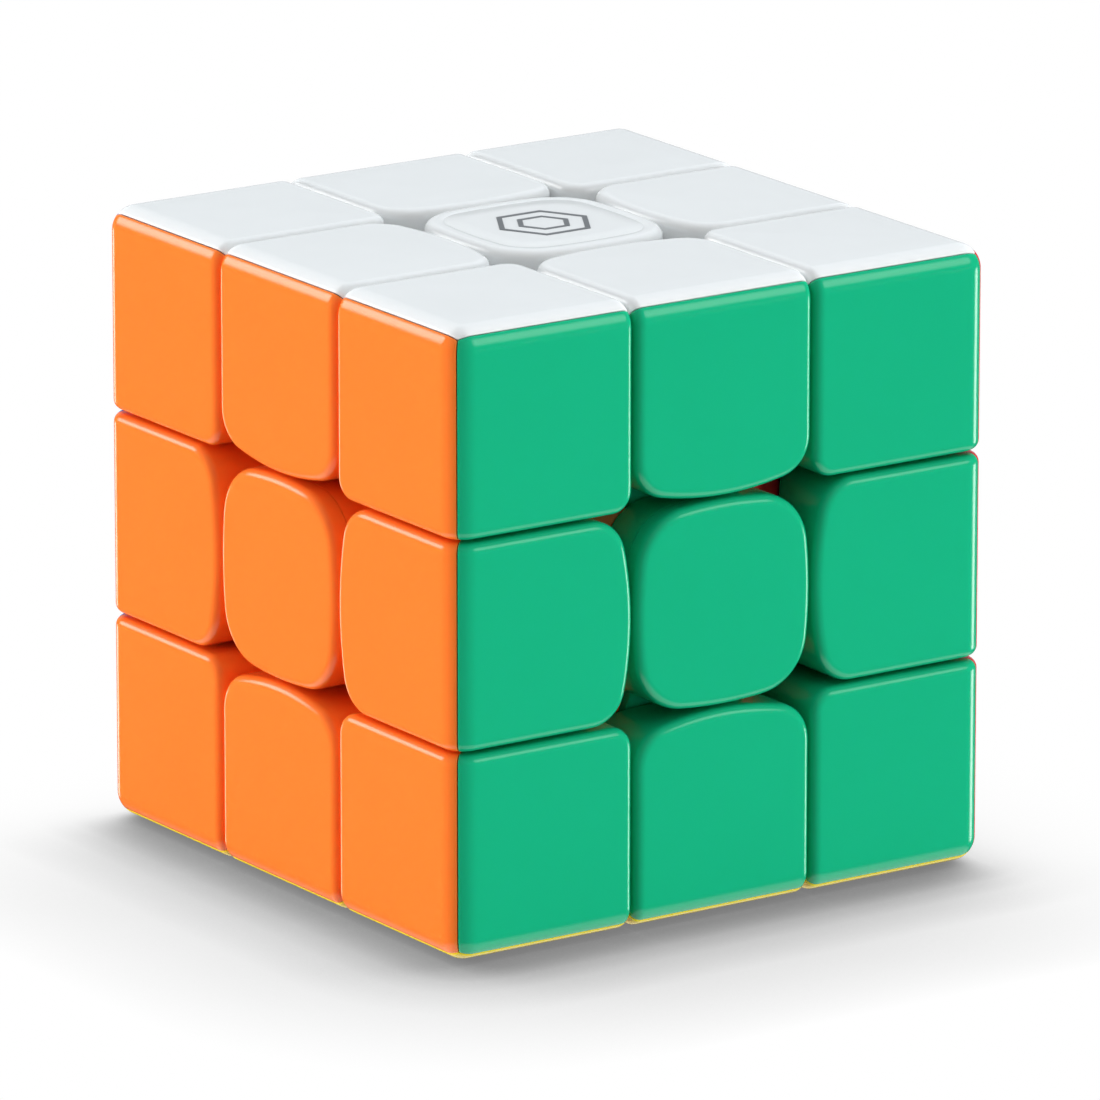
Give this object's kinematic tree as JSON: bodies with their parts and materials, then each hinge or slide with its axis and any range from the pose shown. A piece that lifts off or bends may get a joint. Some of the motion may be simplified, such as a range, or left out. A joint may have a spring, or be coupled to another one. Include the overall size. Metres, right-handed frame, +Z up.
{
  "type": "twisty puzzle cube",
  "caption": "Stickerless twisty puzzle cube with colour-moulded tiles, bowed edge tiles and squircle centres; every face turns freely about the core.",
  "frame": {"origin": "centre of the core, where all six turning axes meet, in the middle of the cube", "axes": "+Z up through the white face, -Y through the green front face, +X through the red right face"},
  "size_m": [0.056, 0.056, 0.056],
  "materials": {
    "white": "gloss",
    "yellow": "gloss",
    "green": "gloss",
    "blue": "gloss",
    "red": "gloss",
    "orange": "gloss",
    "core_plastic": "satin",
    "steel": "satin"
  },
  "bodies": {
    "core": {"core": "core_plastic", "screw_up": "steel", "screw_down": "steel", "screw_front": "steel", "screw_back": "steel", "screw_right": "steel", "screw_left": "steel", "spring_up": "steel", "spring_down": "steel", "spring_front": "steel", "spring_back": "steel", "spring_right": "steel", "spring_left": "steel"},
    "centre_up": {"centre_up": "white", "cap_up": "white"},
    "centre_down": {"centre_down": "yellow", "cap_down": "yellow"},
    "centre_front": {"centre_front": "green", "cap_front": "green"},
    "centre_back": {"centre_back": "blue", "cap_back": "blue"},
    "centre_right": {"centre_right": "red", "cap_right": "red"},
    "centre_left": {"centre_left": "orange", "cap_left": "orange"},
    "edge_up_front": {"edge_up_front_white": "white", "edge_up_front_green": "green"},
    "edge_up_back": {"edge_up_back_white": "white", "edge_up_back_blue": "blue"},
    "edge_up_right": {"edge_up_right_white": "white", "edge_up_right_red": "red"},
    "edge_up_left": {"edge_up_left_white": "white", "edge_up_left_orange": "orange"},
    "edge_down_front": {"edge_down_front_yellow": "yellow", "edge_down_front_green": "green"},
    "edge_down_back": {"edge_down_back_yellow": "yellow", "edge_down_back_blue": "blue"},
    "edge_down_right": {"edge_down_right_yellow": "yellow", "edge_down_right_red": "red"},
    "edge_down_left": {"edge_down_left_yellow": "yellow", "edge_down_left_orange": "orange"},
    "edge_front_right": {"edge_front_right_green": "green", "edge_front_right_red": "red"},
    "edge_front_left": {"edge_front_left_green": "green", "edge_front_left_orange": "orange"},
    "edge_back_right": {"edge_back_right_blue": "blue", "edge_back_right_red": "red"},
    "edge_back_left": {"edge_back_left_blue": "blue", "edge_back_left_orange": "orange"},
    "corner_up_front_right": {"corner_up_front_right": "white"},
    "corner_up_front_left": {"corner_up_front_left": "white"},
    "corner_up_back_right": {"corner_up_back_right": "white"},
    "corner_up_back_left": {"corner_up_back_left": "white"},
    "corner_down_front_right": {"corner_down_front_right": "yellow"},
    "corner_down_front_left": {"corner_down_front_left": "yellow"},
    "corner_down_back_right": {"corner_down_back_right": "yellow"},
    "corner_down_back_left": {"corner_down_back_left": "yellow"}
  },
  "joints": [
    {"name": "up_turn", "type": "hinge", "parent": "core", "child": "centre_up", "pos_m": [0, 0, 0], "axis": [0, 0, 1], "continuous": true},
    {"name": "down_turn", "type": "hinge", "parent": "core", "child": "centre_down", "pos_m": [0, 0, 0], "axis": [0, 0, 1], "continuous": true},
    {"name": "front_turn", "type": "hinge", "parent": "core", "child": "centre_front", "pos_m": [0, 0, 0], "axis": [0, 1, 0], "continuous": true},
    {"name": "back_turn", "type": "hinge", "parent": "core", "child": "centre_back", "pos_m": [0, 0, 0], "axis": [0, 1, 0], "continuous": true},
    {"name": "right_turn", "type": "hinge", "parent": "core", "child": "centre_right", "pos_m": [0, 0, 0], "axis": [1, 0, 0], "continuous": true},
    {"name": "left_turn", "type": "hinge", "parent": "core", "child": "centre_left", "pos_m": [0, 0, 0], "axis": [1, 0, 0], "continuous": true},
    {"name": "edge_up_front_follow", "type": "hinge", "parent": "centre_up", "child": "edge_up_front", "pos_m": [0, 0, 0], "axis": [0, 1, 0], "continuous": true},
    {"name": "edge_up_back_follow", "type": "hinge", "parent": "centre_up", "child": "edge_up_back", "pos_m": [0, 0, 0], "axis": [0, 1, 0], "continuous": true},
    {"name": "edge_up_right_follow", "type": "hinge", "parent": "centre_right", "child": "edge_up_right", "pos_m": [0, 0, 0], "axis": [0, 0, 1], "continuous": true},
    {"name": "edge_up_left_follow", "type": "hinge", "parent": "centre_left", "child": "edge_up_left", "pos_m": [0, 0, 0], "axis": [0, 0, 1], "continuous": true},
    {"name": "edge_down_front_follow", "type": "hinge", "parent": "centre_down", "child": "edge_down_front", "pos_m": [0, 0, 0], "axis": [0, 1, 0], "continuous": true},
    {"name": "edge_down_back_follow", "type": "hinge", "parent": "centre_down", "child": "edge_down_back", "pos_m": [0, 0, 0], "axis": [0, 1, 0], "continuous": true},
    {"name": "edge_down_right_follow", "type": "hinge", "parent": "centre_right", "child": "edge_down_right", "pos_m": [0, 0, 0], "axis": [0, 0, 1], "continuous": true},
    {"name": "edge_down_left_follow", "type": "hinge", "parent": "centre_left", "child": "edge_down_left", "pos_m": [0, 0, 0], "axis": [0, 0, 1], "continuous": true},
    {"name": "edge_front_right_follow", "type": "hinge", "parent": "centre_front", "child": "edge_front_right", "pos_m": [0, 0, 0], "axis": [1, 0, 0], "continuous": true},
    {"name": "edge_front_left_follow", "type": "hinge", "parent": "centre_front", "child": "edge_front_left", "pos_m": [0, 0, 0], "axis": [1, 0, 0], "continuous": true},
    {"name": "edge_back_right_follow", "type": "hinge", "parent": "centre_back", "child": "edge_back_right", "pos_m": [0, 0, 0], "axis": [1, 0, 0], "continuous": true},
    {"name": "edge_back_left_follow", "type": "hinge", "parent": "centre_back", "child": "edge_back_left", "pos_m": [0, 0, 0], "axis": [1, 0, 0], "continuous": true},
    {"name": "corner_up_front_right_follow", "type": "hinge", "parent": "edge_up_front", "child": "corner_up_front_right", "pos_m": [0, 0, 0], "axis": [1, 0, 0], "continuous": true},
    {"name": "corner_up_front_left_follow", "type": "hinge", "parent": "edge_up_front", "child": "corner_up_front_left", "pos_m": [0, 0, 0], "axis": [1, 0, 0], "continuous": true},
    {"name": "corner_up_back_right_follow", "type": "hinge", "parent": "edge_up_back", "child": "corner_up_back_right", "pos_m": [0, 0, 0], "axis": [1, 0, 0], "continuous": true},
    {"name": "corner_up_back_left_follow", "type": "hinge", "parent": "edge_up_back", "child": "corner_up_back_left", "pos_m": [0, 0, 0], "axis": [1, 0, 0], "continuous": true},
    {"name": "corner_down_front_right_follow", "type": "hinge", "parent": "edge_down_front", "child": "corner_down_front_right", "pos_m": [0, 0, 0], "axis": [1, 0, 0], "continuous": true},
    {"name": "corner_down_front_left_follow", "type": "hinge", "parent": "edge_down_front", "child": "corner_down_front_left", "pos_m": [0, 0, 0], "axis": [1, 0, 0], "continuous": true},
    {"name": "corner_down_back_right_follow", "type": "hinge", "parent": "edge_down_back", "child": "corner_down_back_right", "pos_m": [0, 0, 0], "axis": [1, 0, 0], "continuous": true},
    {"name": "corner_down_back_left_follow", "type": "hinge", "parent": "edge_down_back", "child": "corner_down_back_left", "pos_m": [0, 0, 0], "axis": [1, 0, 0], "continuous": true}
  ],
  "couplings": [
    {"joint": "edge_up_front_follow", "follows": "front_turn", "ratio": 1},
    {"joint": "edge_up_back_follow", "follows": "back_turn", "ratio": 1},
    {"joint": "edge_up_right_follow", "follows": "up_turn", "ratio": 1},
    {"joint": "edge_up_left_follow", "follows": "up_turn", "ratio": 1},
    {"joint": "edge_down_front_follow", "follows": "front_turn", "ratio": 1},
    {"joint": "edge_down_back_follow", "follows": "back_turn", "ratio": 1},
    {"joint": "edge_down_right_follow", "follows": "down_turn", "ratio": 1},
    {"joint": "edge_down_left_follow", "follows": "down_turn", "ratio": 1},
    {"joint": "edge_front_right_follow", "follows": "right_turn", "ratio": 1},
    {"joint": "edge_front_left_follow", "follows": "left_turn", "ratio": 1},
    {"joint": "edge_back_right_follow", "follows": "right_turn", "ratio": 1},
    {"joint": "edge_back_left_follow", "follows": "left_turn", "ratio": 1},
    {"joint": "corner_up_front_right_follow", "follows": "right_turn", "ratio": 1},
    {"joint": "corner_up_front_left_follow", "follows": "left_turn", "ratio": 1},
    {"joint": "corner_up_back_right_follow", "follows": "right_turn", "ratio": 1},
    {"joint": "corner_up_back_left_follow", "follows": "left_turn", "ratio": 1},
    {"joint": "corner_down_front_right_follow", "follows": "right_turn", "ratio": 1},
    {"joint": "corner_down_front_left_follow", "follows": "left_turn", "ratio": 1},
    {"joint": "corner_down_back_right_follow", "follows": "right_turn", "ratio": 1},
    {"joint": "corner_down_back_left_follow", "follows": "left_turn", "ratio": 1}
  ]
}
